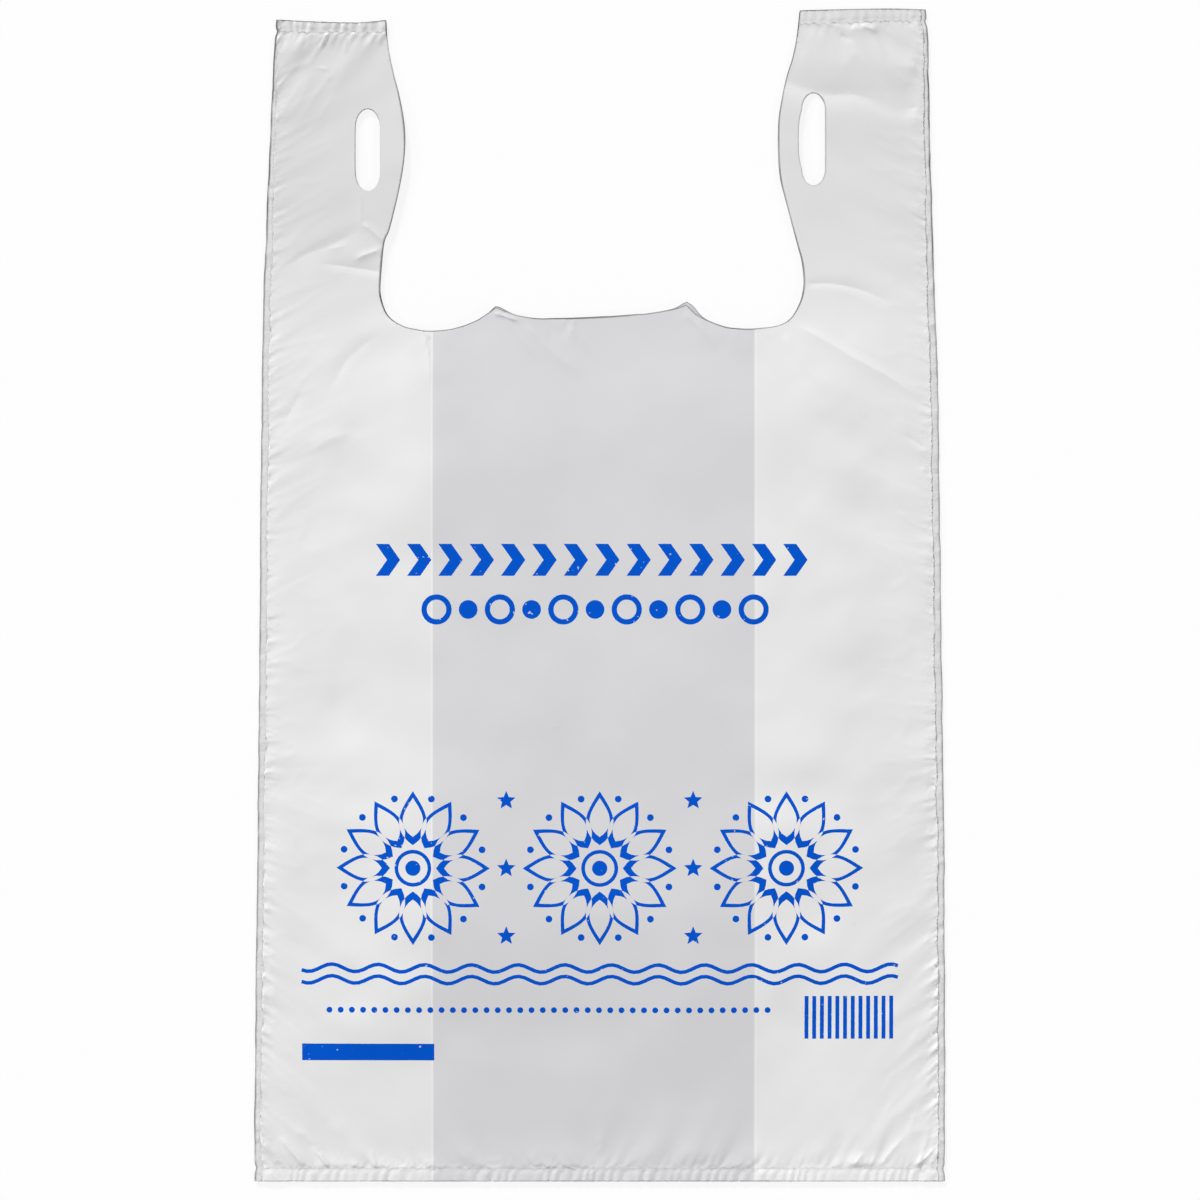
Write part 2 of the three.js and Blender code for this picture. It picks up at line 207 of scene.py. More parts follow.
def even_steps(line, step):
    """The same line with its points at even distances of about step."""
    line = np.asarray(line, float)
    lengths = np.concatenate([[0], np.cumsum(np.hypot(*np.diff(line, axis=0).T))])
    places = np.linspace(0, lengths[-1], max(2, round(lengths[-1] / step) + 1))
    return np.column_stack([np.interp(places, lengths, line[:, axis]) for axis in (0, 1)])


def curve_through(points, step=EDGE_STEP):
    """Even steps along a Catmull-Rom curve through the points."""
    p = np.asarray([points[0], *points, points[-1]], float)
    t = np.linspace(0, 1, 24)[:, None]
    spans = []
    for a, b, c, d in zip(p, p[1:], p[2:], p[3:]):
        slope, bend, twist = (c - a) / 2, a - 2.5 * b + 2 * c - d / 2, 1.5 * (b - c) + (d - a) / 2
        spans.append(b + t * (slope + t * (bend + t * twist)))
    return even_steps(np.vstack(spans), step)


def right_hand(line):
    """Unit vectors that point to the right of a line, seen along it."""
    along = np.gradient(line, axis=0)
    along /= np.maximum(np.hypot(*along.T), 1e-9)[:, None]
    return np.column_stack([along[:, 1], -along[:, 0]])


# %% [markdown]
# ## The cut, and the layers that peep out
#
# A press cuts a whole stack of bags at once, so its four layers end together. Handling shifts them: here
# and there the back layers show past the front ones as a second thin line, most at the mouth's right peak.

# %% The cut edge and the slots
# Where the back layers peep out, by how much, and over what distance along the edge
PEEPS = [((39.5, 122.5), 1.7, 5), ((-43, 123), 0.8, 3.5), ((0, 119), 0.55, 28), ((-84.5, 204), 0.4, 12),
         ((-94.5, 140), 0.5, 14), ((77, 192), 0.3, 16), ((88, 136), 0.3, 9), ((60, 115), 0.3, 12)]
PEEP_LEAST = 0.1

# Each slot: the middle, width, length, height of the round ends, and how far its left side bulges
SLOTS = [((-99.7, 191.3), 10.9, 35.6, 8.2, 0.1), ((91.9, 195.9), 10.4, 40.1, 7.5, 1.4)]


def cut_edge(peeping):
    """The cut edge from the right handle's top corner to the left one's. It is moved out where it peeps."""
    parts = [curve_through(part) for part in (RIGHT_CUT, MOUTH_CUT, LEFT_CUT)]
    line = np.vstack([parts[0], parts[1][1:], parts[2][1:]])
    line[1:-1, 1] += 0.12 * ripples(line[1:-1, 0] / 5, line[1:-1, 1] / 5, 5)
    if not peeping:
        return line
    out = np.full(len(line), PEEP_LEAST)
    for place, amount, reach in PEEPS:
        out += amount * np.exp(-((np.hypot(*(line - place).T) / reach) ** 2))
    moved = line + right_hand(line) * out[:, None]
    moved[[0, -1]] = line[[0, -1]]
    return moved


def slot_outline(middle, width, length, round_end, bulge, grow=0.0):
    """A finger slot with oval ends, counter-clockwise."""
    half, straight = width / 2 + grow, length / 2 - round_end
    turn = np.linspace(0, math.pi, 24)
    end = np.column_stack([half * np.cos(turn), (round_end + grow) * np.sin(turn)])
    side = np.linspace(straight, -straight, 22)[1:-1]
    bulging = np.column_stack([-half - bulge * (1 - np.abs(side / straight) ** 3), side])
    plain = np.column_stack([np.full(len(side), half), side[::-1]])
    return np.vstack([end + (0, straight), bulging, -end - (0, straight), plain]) + middle


def side_fold(side, fold):
    """A side fold from the bottom edge to the handle's top corner."""
    top = (LEFT_TOP[0] if side < 0 else RIGHT_TOP[-1])[1]
    y = np.linspace(BOTTOM, top, round((top - BOTTOM) / EDGE_STEP) + 1)
    return np.column_stack([fold(side, y), y])


def panel_outline(fold, peeping):
    """The outline of the front or the back panel, counter-clockwise from its bottom left corner."""
    left, right = side_fold(-1, fold), side_fold(1, fold)
    right_top = curve_through([*RIGHT_TOP[:-1], right[-1]])[::-1]
    left_top = curve_through([left[-1], *LEFT_TOP[1:]])[::-1]
    bottom = even_steps([left[0], right[0]], EDGE_STEP)
    parts = [bottom, right[1:], right_top[1:], cut_edge(peeping)[1:], left_top[1:], left[::-1][1:-1]]
    return np.vstack(parts)


front_outline = panel_outline(front_fold, peeping=False)
back_outline = panel_outline(back_fold, peeping=True)
print("points round the front panel:", len(front_outline), "and round the back:", len(back_outline))

# %% [markdown]
# ## How the bag lies
#
# A little air stays inside, so the front panel rises from the welds and the side folds towards the middle.
# The slopes are gentle, only a few degrees, and flatter over the handles.

# %% The calm shape
BACK_LEVEL = 0.06
WELD_LEVEL = 1
SKIRT_LEVEL = 1.2
EDGE_LEVEL = 1.3
BODY_CROWN = 8.2
HANDLE_CROWN = 3.2
CROWN_CHANGE = (50, 135)  # between these heights the crown falls from the body's to the handles'
SIDE_RISE = 128
BOTTOM_RISE = 116
TOP_RISE = 60


def calm_height(x, y):
    """The front panel's height without wrinkles."""
    weld = from_weld(x, y)
    low, high = CROWN_CHANGE
    crown = BODY_CROWN + (HANDLE_CROWN - BODY_CROWN) * smooth((y - low) / (high - low))
    across = ease_out(from_side(x, y) / SIDE_RISE)
    upward = smooth((y - BOTTOM_WELD) / BOTTOM_RISE) * smooth((reading(TOP_WELD, x) - y) / TOP_RISE)
    open_bag = EDGE_LEVEL + (crown - EDGE_LEVEL) * across * upward
    into_bag = 0.2 * smooth((weld - WELD_WIDTH / 2) / 2.5) + 0.8 * smooth((weld - WELD_WIDTH / 2) / 26)
    into_skirt = smooth((-weld - WELD_WIDTH / 2) / 2)
    skirt = WELD_LEVEL + (SKIRT_LEVEL - WELD_LEVEL) * into_skirt
    return np.where(weld > 0, WELD_LEVEL + (open_bag - WELD_LEVEL) * into_bag, skirt)


# %% [markdown]
# ## Wrinkles from the folds and the welds
#
# The side folds were pressed while the film was warm, and it shrank along them. That gathers the panel
# into short wrinkles, which leave the fold at a slant and die out within a centimetre or two. The welds
# shrank more, so they crinkle every few millimetres and pull long soft puckers into the film.

# %% Gathers
# For the wrinkles at the side folds: Y, and how much one climbs there for each millimetre into the panel
SLANT = [(-240, -0.9), (-150, -0.6), (-50, 0.1), (60, 0.5), (250, 0.55)]

# and Y, and how strong the wrinkles are there
GATHERED = [(-252, 1), (-100, 0.9), (60, 0.85), (130, 0.6), (250, 0.55)]
LEAN = (0.6, -0.5)  # how much the puckers at a weld lean, left and right of the middle


def dying(pattern, distance, start, end):
    """A pattern that sets in over one distance from a fold or a weld and dies out over another."""
    return pattern * smooth(distance / start) * np.exp(-distance / end)


def side_gathers(x, y):
    inside = np.maximum(from_side(x, y), 0)
    seed = np.where(x < 0, 0, 40)
    along = y - reading(SLANT, y) * inside + seed
    strength = (0.6 + 0.4 * ripples(along / 19, seed, 11)) * reading(GATHERED, y)
    bands = 0.42 * dying(ripples(along / 10, inside / 60 + seed, 16), inside, 10, 45)
    lines = 0.2 * dying(creases(along / 5.5, inside / 26 + seed, 18, 0.3), inside, 5, 26)
    soft_ones = 0.6 * dying(ripples(along / 6, inside / 24 + seed, 15), inside, 5, 14)
    long_ones = 0.7 * ripples(along / 2.3, inside / 14 + seed, 12) * np.exp(-inside / 5)
    short_ones = 0.52 * ripples(along / 1.2, inside / 5 + seed, 13) * np.exp(-inside / 2)
    sharp_ones = 0.75 * creases(along / 2.2, inside / 9 + seed, 14) * np.exp(-inside / 3.4)
    near_fold = (long_ones + short_ones + sharp_ones) * smooth(inside / 1.2 + 0.3)
    return bands + lines + strength * (soft_ones + near_fold)


def weld_gathers(x, y):
    weld = from_weld(x, y)
    depth, past = np.maximum(weld, 0), np.maximum(-weld, 0)
    leaning = x + np.where(x < 0, *LEAN) * depth
    strength = 0.65 + 0.35 * ripples(x / 13, 0, 20)
    crinkle = 0.42 * ripples(x / 1.5, weld / 4, 21) * np.exp(-np.abs(weld) / 1.2) * smooth(np.abs(weld) / 0.5)
    puckers = 0.7 * dying(ripples(leaning / 2.9, depth / 20, 22), depth, 2, 5)
    fans = 0.95 * dying(ripples(leaning / 9, depth / 40, 24), depth, 8, 17)
    arms = sum(creases(x / 3.6 + arm * depth / 5, depth / 9, seed, 0.36) for arm, seed in ((1, 25), (-1, 27)))
    arms = 0.4 * dying(arms, depth, 1.1, 3)
    arches = dying(pleat_wave(x, leaning) - 0.6, depth, 1.2, 3.6)
    arches = arches * np.where(y < 0, 0.5, np.where(x < 0, 0.75, 0.35))
    in_corners = smooth((np.abs(x) - 96) / 14)
    rays = 1.1 * dying(creases(leaning / 6, depth / 30, 30, 0.4), depth, 3, 14) * in_corners
    pleats = 0.8 * (pleat_wave(x, x + 0.2 * past) - 0.6) + 0.45 * ripples(x / 2.1, past / 9, 26)
    patches = smooth(0.6 + ripples(x / 15, 0, 28))
    pleats = pleats * smooth(past / 2.4) * np.where(y < 0, 0.15 + 0.5 * patches, np.where(x < 0, 1, 0.4))
    return strength * (crinkle + puckers + arms + arches) + fans + rays + pleats


def mouth_gathers(x, y):
    """Short fine creases that run from the mouth and the scoops into the body."""
    depth = np.maximum(reading(MOUTH_LINE, x) - y, 0)
    where = smooth(0.4 + 1.2 * ripples(x / 16, 0, 29)) * (np.abs(x) < 86)
    fine = 0.42 * creases((x + 0.35 * depth) / 3, depth / 14, 34, 0.4) + 0.2 * ripples(x / 2.3, depth / 9, 35)
    return fine * where * np.exp(-depth / 8) * smooth(depth / 2 + 0.2)


def undulations(x, y):
    """Broad, low waves over the whole panel, lower where the film is taut in the middle."""
    inside = np.minimum(from_side(x, y), from_weld(x, y))
    broad = 1.7 * ripples(x / 52 + 0.3, y / 46 + 5, 31)
    slanted = 0.6 * ripples(x / 21 + y / 60, y / 17, 32) + 0.14 * ripples(x / 9 - y / 30, y / 8, 33)
    loose = 0.5 + 0.5 * smooth((np.abs(x) - 50) / 35)
    room = clamped((calm_height(x, y) - 1.2) / 3)
    return (broad + slanted) * loose * room * smooth(inside / 22)


# %% [markdown]
# ## Folds from handling
#
# Each fold is a line on the panel with a height at the line, and a width on each side over which the film
# comes back to its level. A narrow side is steep and catches the light. The profile has a crest, because
# thin film bends sharply along a line and stays flat beside it, but a soft fold is rounded. Lines run to
# the right or upwards, and "left" and "right" are the sides of a line, seen along it.

# %% Folds
def fold(points, height, left, right, fade=(0.35, 0.35), soft=False):
    """A fold. It fades in and out over these shares of its length."""
    return {"line": curve_through(points), "height": height, "left": left, "right": right, "fade": fade,
            "soft": soft}


LONG_FOLD = [(81, 220.4), (88.3, 217.6), (98.2, 215.2), (108.1, 215.2), (115.8, 213.7), (123.5, 211.1),
             (138, 209)]
FOLDS = [fold(*values) for values in (
    # the left handle, below its slot
    ([(-141, 138), (-126, 146.5), (-112, 152), (-100, 159)], -0.8, 10, 12),
    ([(-122, 142.5), (-112, 141.5), (-95.3, 139)], -0.62, 7, 4, (0.4, 0)),
    ([(-106, 143.8), (-101, 146), (-95.2, 148)], 0.6, 3, 3.6, (0.4, 0)),
    ([(-103.1, 153.5), (-102.6, 162), (-102.6, 172)], 0.12, 1.6, 1.2, (0.4, 0)),
    ([(-103, 159.5), (-99.6, 157.8), (-93.5, 152.5)], 0.5, 3, 2.6, (0.3, 0)),
    ([(-118, 148), (-108, 150.5)], 0.3, 4, 4),
    # under the left handle's weld
    ([(-127.8, 234), (-124.1, 241.4)], -0.3, 2.4, 3),
    ([(-138, 232.8), (-134.5, 240.2)], -0.34, 2, 3),
    ([(-109.5, 232), (-109.2, 240.6)], 0.3, 2, 3),
    ([(-139.2, 246.5), (-137.4, 243.4), (-135.2, 241.2)], 0.9, 1.4, 1.6, (0, 0.2)),
    ([(-122, 226.6), (-116, 225.6)], 0.28, 1.6, 1.4),
    # from the left scoop into the body
    ([(-119, 82.6), (-112.1, 95), (-106.5, 103.2), (-93, 113)], -0.34, 6, 5, (0.45, 0.3)),
    ([(-92, 120.5), (-89.5, 118.3), (-86.7, 116.1)], -0.42, 1.6, 1.6, (0, 0.4)),
    ([(-136.2, 73.1), (-127.6, 88.2)], -0.36, 5, 5),
    ([(-126, 61), (-115, 67.5), (-104, 69.5)], 0.4, 7, 7),
    ([(-72.8, 86.4), (-73.2, 100.2), (-75.3, 112.8)], 0.2, 2, 1.2, (0.5, 0)),
    ([(-76, 113.4), (-72.4, 109.8)], 0.3, 1.4, 1.4, (0, 0.3)),
    # the right handle
    ([(84, 233), (98, 230), (112, 229), (125, 227), (137, 224)], 0.35, 13, 15, (0.1, 0.1), True),
    (LONG_FOLD, -1.5, 18, 9, (0, 0.14)),
    (LONG_FOLD[3:], -0.35, 4, 1.4, (0.5, 0.14)),
    ([(111.9, 245.3), (120.1, 241.6)], 0.42, 2.4, 2.2, (0.1, 0.4)),
    ([(102.9, 240.8), (108.5, 238.2)], -0.42, 3, 2.4),
    # from the right scoop into the body
    ([(88.6, 133.5), (98.2, 133.7), (108.9, 132), (118.4, 128.6), (130, 123)], -0.42, 5, 3.4, (0.05, 0.5)),
    ([(81.4, 117.4), (95.2, 110.1), (108.9, 101.9), (121.8, 95), (132.1, 88.2), (140, 82)],
     0.55, 4.5, 7, (0.2, 0.3)),
    ([(78.8, 112.2), (87, 100.2), (99.9, 82.6)], 0.36, 5, 4, (0.1, 0.5)),
    ([(130, 69.7), (141, 62)], -0.42, 4, 3),
    ([(137.7, 55), (141.2, 52.5)], 0.34, 1.8, 1.8),
    # under the mouth
    ([(-45.5, 121), (-40.5, 119.4), (-34, 117.2)], 0.55, 1.6, 1.1, (0.1, 0.3)),
    ([(-14.9, 116.5), (-9, 110), (-2.9, 100)], 0.3, 3, 3.6, (0.2, 0.5)),
    ([(-33, 117), (-20, 104), (-4, 92)], 0.26, 4, 5, (0.15, 0.5)),
    ([(-42, 121), (-34, 110), (-24, 99)], 0.26, 4, 4, (0.15, 0.5)),
    ([(36, 121), (44, 113.5), (50, 104)], 0.32, 3, 3, (0.1, 0.5)),
    # above the bottom weld
    ([(-144.8, -234.8), (-140.1, -243.5)], 0.6, 2.4, 2, (0.3, 0)),
    ([(-137.9, -232.2), (-128.4, -244.2)], 0.7, 3, 2.4, (0.3, 0)),
    ([(-124.1, -236.9), (-117.7, -244.2)], 0.55, 2.4, 2, (0.4, 0)),
    ([(-98.8, -237.8), (-95.8, -245.1)], 0.36, 1.8, 1.8, (0.4, 0)),
    ([(109.3, -244.7), (113.6, -239.5)], 0.4, 2, 2, (0, 0.4)),
    ([(137.3, -244.3), (145, -236.9)], 0.6, 2.4, 2.4, (0, 0.3)),
    ([(121, -244.3), (131, -232)], 0.5, 3, 3, (0, 0.5)),
)]


def fold_height(x, y, one):
    """The height that one fold gives at points, 0 where it doesn't reach."""
    line, reach = one["line"], max(one["left"], one["right"])
    result = np.zeros(len(x))
    low, high = line.min(axis=0) - reach, line.max(axis=0) + reach
    near = np.nonzero((x > low[0]) & (x < high[0]) & (y > low[1]) & (y < high[1]))[0]
    if not len(near):
        return result
    points = np.column_stack([x[near], y[near]])
    best = np.full(len(near), np.inf)
    share, side = np.zeros(len(near)), np.zeros(len(near))
    for index, (start, end) in enumerate(zip(line, line[1:])):
        run = end - start
        place = np.clip((points - start) @ run / (run @ run), 0, 1)
        away = points - start - place[:, None] * run
        distance = np.hypot(*away.T)
        closer = distance < best
        best[closer] = distance[closer]
        share[closer] = (index + place[closer]) / (len(line) - 1)
        side[closer] = (run[0] * away[:, 1] - run[1] * away[:, 0])[closer]
    width = np.where(side > 0, one["left"], one["right"])
    fade_in, fade_out = one["fade"]
    along = smooth(share / fade_in if fade_in else share + 1)
    along = along * smooth((1 - share) / fade_out if fade_out else 2 - share)
    closeness = clamped(1 - best / width)
    result[near] = one["height"] * (smooth(closeness) if one["soft"] else closeness ** 2) * along
    return result


LEAST_LEVEL = (0.45, 0.65)  # at the folds and inside them; leaves room for the three layers under the front
RESTING = 0.16  # how softly the film comes to rest on the layers under it


def resting(height, least):
    """The height itself where it is well above the least level, and just above that level elsewhere."""
    above = (height - least) / 2
    return least + above + np.sqrt(above ** 2 + RESTING ** 2)


def top_height(x, y):
    """The front panel's height before its edge turns down into the fold."""
    layers = (calm_height, side_gathers, weld_gathers, mouth_gathers, undulations)
    height = sum(layer(x, y) for layer in layers)
    inside = np.minimum(from_side(x, y), from_weld(x, y))
    least = LEAST_LEVEL[0] + (LEAST_LEVEL[1] - LEAST_LEVEL[0]) * smooth(inside / 16)
    folds = sum(fold_height(x, y, one) for one in FOLDS)
    return resting(height + folds * smooth(from_side(x, y) / 5 + 0.3), least)


# %% [markdown]
# ## The layers under the front
#
# At each side the tube folds in as a gusset: a layer goes from the front fold in to the inner fold, and
# another comes back out to the back fold. They lie on the back panel, a small gap apart. Two layers that
# share a fold meet there at one height, and turn over in a small radius.

# %% Heights of the layers
TURN = 0.35  # radius of a fold's turn
BACK_RIPPLE = 0.3
GUSSET_GAP = 0.13
GUSSET_LEVEL = 0.22  # how far the gusset lies above the back, inside the bag
PRESSED_REACH = 7
CURL_REACH = 16  # the back panel curls up to the front at the mouth's right peak, where it shows past it
CURL_GAP = 0.7


def back_height(x, y):
    ripple = ripples(x / 23 + 9, y / 19, 51) * ripples(x / 60, y / 41 + 3, 52)
    curl = np.exp(-((np.hypot(x - PEEPS[0][0][0], y - PEEPS[0][0][1]) / CURL_REACH) ** 2))
    return BACK_LEVEL + BACK_RIPPLE * np.abs(ripple) + np.maximum(calm_height(x, y) - CURL_GAP, 0) * curl


def gusset_heights(x, y):
    """The upper and the lower gusset layer, and the middle between them. They lie on the back, and at the
    front fold close under the front, since nothing but film is in between."""
    top, back = top_height(x, y), back_height(x, y)
    pressed = smooth(1 - from_side(x, y) / PRESSED_REACH)
    low = np.minimum(back + GUSSET_LEVEL, (top + back) / 2)
    middle = (1 - pressed) * low + pressed * np.maximum(top - 1.3 * GUSSET_GAP, back + GUSSET_GAP / 2)
    return middle + GUSSET_GAP / 2, middle - GUSSET_GAP / 2, middle


def turned(height, fold_level, distance):
    """The height of a layer that turns over into a fold, at a distance inside the fold."""
    share = clamped(distance / TURN)
    return fold_level + (height - fold_level) * np.sqrt(1 - (1 - share) ** 2)


def strip_creases(x, y):
    """Small slanted creases on the narrow strip of back lobe that shows beside the front fold."""
    slanted = y + np.where(x < 0, 0.9, -0.9) * x
    waves = 0.3 * ripples(slanted / 2.6, x / 4, 61) + 0.3 * creases(slanted / 5, x / 5, 62)
    return waves - 0.25 * clamped(-from_side(x, y) / 3) ** 2


def front_surface(x, y):
    top = top_height(x, y)
    upper, _, _ = gusset_heights(x, y)
    return turned(top, (top + upper) / 2, from_side(x, y))


def upper_gusset(x, y):
    top = top_height(x, y)
    upper, _, middle = gusset_heights(x, y)
    height = turned(upper, (top + upper) / 2, from_side(x, y))
    return turned(height, middle, from_inner(x))


def back_lobe(x, y):
    """The lower gusset layer with its strip creased, the back panel, and the middle of the gusset."""
    _, lower, middle = gusset_heights(x, y)
    back = back_height(x, y)
    on_strip = smooth(-from_side(x, y) / 0.8)
    return np.maximum(lower + strip_creases(x, y) * on_strip, back + 0.1), back, middle


def lower_gusset(x, y):
    strip, back, middle = back_lobe(x, y)
    height = turned(strip, (strip + back) / 2, from_side(x, y, back_fold))
    return turned(height, middle, from_inner(x))


def back_surface(x, y):
    strip, back, _ = back_lobe(x, y)
    return turned(back, (strip + back) / 2, from_side(x, y, back_fold))


def from_inner(x):
    """How far outside the nearer gusset's inner fold a point lies."""
    return np.where(x < 0, INNER_FOLDS[0] - x, x - INNER_FOLDS[1])


# %% [markdown]
# ## The print
#
# Carrier bags are printed in one ink on a flexographic press, before the tube is folded and welded. The ink
# has crisp edges and lies in the film's surface, so it follows every wrinkle. A texture could draw it, but
# here its outlines are cut into the mesh and the triangles inside them get the ink: it stays sharp from
# any distance. The ornament is plain geometry: chevrons, rings, rosettes, stars, waves, dots and stripes.

# %% Shapes to print
def disc(middle, radius, steps=28):
    turn = np.arange(steps) * 2 * math.pi / steps
    return middle + radius * np.column_stack([np.cos(turn), np.sin(turn)])


def ring(middle, radius, stroke):
    """Two outlines, one inside the other. What lies inside both isn't printed."""
    return [disc(middle, radius), disc(middle, radius - stroke)]


def stroke_along(line, width):
    """The outline of a stroke along a line."""
    out = right_hand(line) * width / 2
    return np.vstack([line + out, (line - out)[::-1]])


def straight_sides(corners, step=2.4):
    """An outline with straight sides and points along them, so that it follows the curved film."""
    corners = np.array(corners, float)
    points = []
    for start, end in zip(corners, np.roll(corners, -1, axis=0)):
        count = math.ceil(np.hypot(*(end - start)) / step)
        points += [start + (end - start) * place / count for place in range(count)]
    return np.array(points)


def star(middle, radius, points=5, inner=0.45):
    turn = math.pi / 2 + np.arange(2 * points) * math.pi / points
    reach = radius * np.where(np.arange(2 * points) % 2, inner, 1)[:, None]
    return straight_sides(middle + reach * np.column_stack([np.cos(turn), np.sin(turn)]))


def petal(middle, angle, near, far, width, steps=14):
    """A leaf shape that points away from the middle."""
    share = np.linspace(0, 1, steps)
    half = width / 2 * np.sin(math.pi * share ** 0.8)
    edge = np.column_stack([near + (far - near) * share, half])
    leaf = np.vstack([edge, (edge * (1, -1))[::-1][1:-1]])
    turn = np.array([[math.cos(angle), math.sin(angle)], [-math.sin(angle), math.cos(angle)]])
    return middle + leaf @ turn


def rosette(middle, radius, petals, stroke):
    """A ring of outlined petals round a ringed centre, with a dot beyond each gap."""
    shapes = [disc(middle, radius * 0.1, 20), *ring(middle, radius * 0.24, stroke)]
    near, width = radius * 0.3, radius * 0.36
    for index in range(petals):
        angle = 2 * math.pi * index / petals
        gap = angle + math.pi / petals
        dot = middle + np.array([math.cos(gap), math.sin(gap)]) * radius * 0.93
        shapes += [petal(middle, angle, near, radius, width),
                   petal(middle, angle, near + 2.2 * stroke, radius - 1.8 * stroke, width - 2 * stroke),
                   disc(dot, radius * 0.045, 12)]
    return shapes


def wave(left, right, level, height, pitch, width):
    x = np.linspace(left, right, round((right - left) / 2.2))
    return stroke_along(np.column_stack([x, level + height * np.sin(2 * math.pi * x / pitch)]), width)


def box_outline(left, low, right, high):
    return straight_sides([(left, low), (right, low), (right, high), (left, high)])


# %% The layout of the print
STROKE = 1.6


def band_of_chevrons(left, right, low, high, count):
    pitch = (right - left) / count
    width = pitch * 0.42
    middle = (low + high) / 2
    shapes = []
    for index in range(count):
        x = left + index * pitch
        tip = x + pitch * 0.36
        shapes.append(straight_sides([(x, low), (x + width, low), (tip + width, middle), (x + width, high),
                                      (x, high), (tip, middle)]))
    return shapes


def band_of_rings(left, right, low, high, count):
    radius = (high - low) / 2
    shapes = []
    for index, x in enumerate(np.linspace(left + radius, right - radius, count)):
        middle = np.array([x, (low + high) / 2])
        shapes += ring(middle, radius, 2.3) if index % 2 == 0 else [disc(middle, radius * 0.62)]
    return shapes


prints = [
    *band_of_chevrons(-96, 92, 8.2, 21.9, 14),
    *band_of_rings(-76.4, 72.4, -12.7, 0.3, 11),
    *[shape for x in (-80.0, 0.0, 80.0) for shape in rosette(np.array([x, -117.0]), 33, 12, STROKE)],
    *[star(np.array([x, y]), 4.2) for x in (-40, 40) for y in (-88, -117, -146)],
    *[wave(-128, 128, level, 1.6, 20, STROKE) for level in (-160, -165)],
    *[disc(np.array([x, -178.0]), 1.3, 12) for x in np.linspace(-116, 72, 40)],
    box_outline(-127.8, -199.8, -71, -192.6),
    *[box_outline(x, -190.5, x + 1.7, -172) for x in np.linspace(87.9, 124.3, 12)],
]
print("outlines to print:", len(prints), "with", sum(len(shape) for shape in prints), "points")

# %% [markdown]
# ## Triangles over a sheet
#
# A constrained Delaunay triangulation joins any cloud of points into triangles, and keeps the outlines that
# it is given as edges. Points are dense only where the film bends: beside folds, welds and creases. Rows
# of points beside each edge hold its turn, and a coarse grid fills the calm middle.

# %% Points for a sheet
def rows_beside(line, distances):
    """Rows of points beside a line, to the left of it for distances above 0."""
    out = right_hand(line)
    return np.vstack([line - out * distance for distance in distances])


def grid(spacing, wanted):
    """Points of a square grid over the bag, where wanted says so. Each is moved a little, never in step."""
    x, y = np.meshgrid(np.arange(-HALF_WIDTH, HALF_WIDTH, spacing), np.arange(BOTTOM, highest[1], spacing))
    x, y = x.ravel(), y.ravel()
    keep = wanted(x, y)
    points = np.column_stack([x[keep], y[keep]])
    return points + np.random.default_rng(7).uniform(-0.16, 0.16, points.shape) * spacing


def distances(points, others):
    """How far each point lies from the nearest of the others."""
    tree = kdtree.KDTree(len(others))
    for index, (x, y) in enumerate(others):
        tree.insert((x, y, 0), index)
    tree.balance()
    return np.array([tree.find((x, y, 0))[2] for x, y in points])


def spread(batches):
    """Joins batches of points, each with a least distance. Points too close to an earlier batch drop out."""
    chosen = [np.asarray(batches[0][0], float)]
    for points, least in batches[1:]:
        chosen.append(points[distances(points, np.vstack(chosen)) > least])
    return np.vstack(chosen)


def counter_clockwise(outline):
    x, y = outline.T
    area = np.sum(x * np.roll(y, -1) - y * np.roll(x, -1))
    return outline if area > 0 else outline[::-1]


def triangulate(outlines, lines, loose):
    """Triangles over outlines, with lines kept as edges and loose points used as corners.

    Returns the points, the triangles and, for each triangle, the numbers of the outlines round it."""
    points, faces, edges = [], [], []
    for outline in outlines:
        outline = counter_clockwise(outline)
        faces.append(list(range(len(points), len(points) + len(outline))))
        points += list(outline)
    for line in lines:
        start = len(points)
        points += list(line)
        edges += [(start + index, start + index + 1) for index in range(len(line) - 1)]
    points += list(loose)
    vectors = [Vector(point) for point in points]
    found, _, triangles, _, _, inside = delaunay_2d_cdt(vectors, edges, faces, 0, 0.004)
    return np.array([tuple(point) for point in found]), triangles, inside


# %% [markdown]
# ## Sheets of film
#
# Each sheet is triangulated flat, then every point takes its height. The front panel and the back panel
# carry the slots as holes, and the gusset layers are cut off at the inner folds. A value at each point
# says how much painted shade it gets from a near edge, fold or weld, for a thin darker line there.

# %% One sheet
FOUR_OR_TWO, TWO_LAYERS, INK = 0, 1, 2  # the materials by number
EDGE_LINE = (0.22, 0.5)  # the painted shade along an edge is full up to the first distance and gone at the second
FOLD_LINE = (0.45, 0.85)  # the same for the outer folds
FOLD_ROWS = (0.1, 0.28, 0.6, 1.1)


def near_edge(points, outline, full, gone):
    """1 on the outline and beside it, and 0 from the end of the dark line on."""
    away = distances(points, even_steps(np.vstack([outline, outline[:1]]), 0.25))
    return clamped((gone - away) / (gone - full))


def on_front_fold(x, y):
    """True along the front folds, where the film doesn't end but turns under."""
    return (np.abs(from_side(x, y)) < 0.9) & (from_weld(x, y) > -4.8)


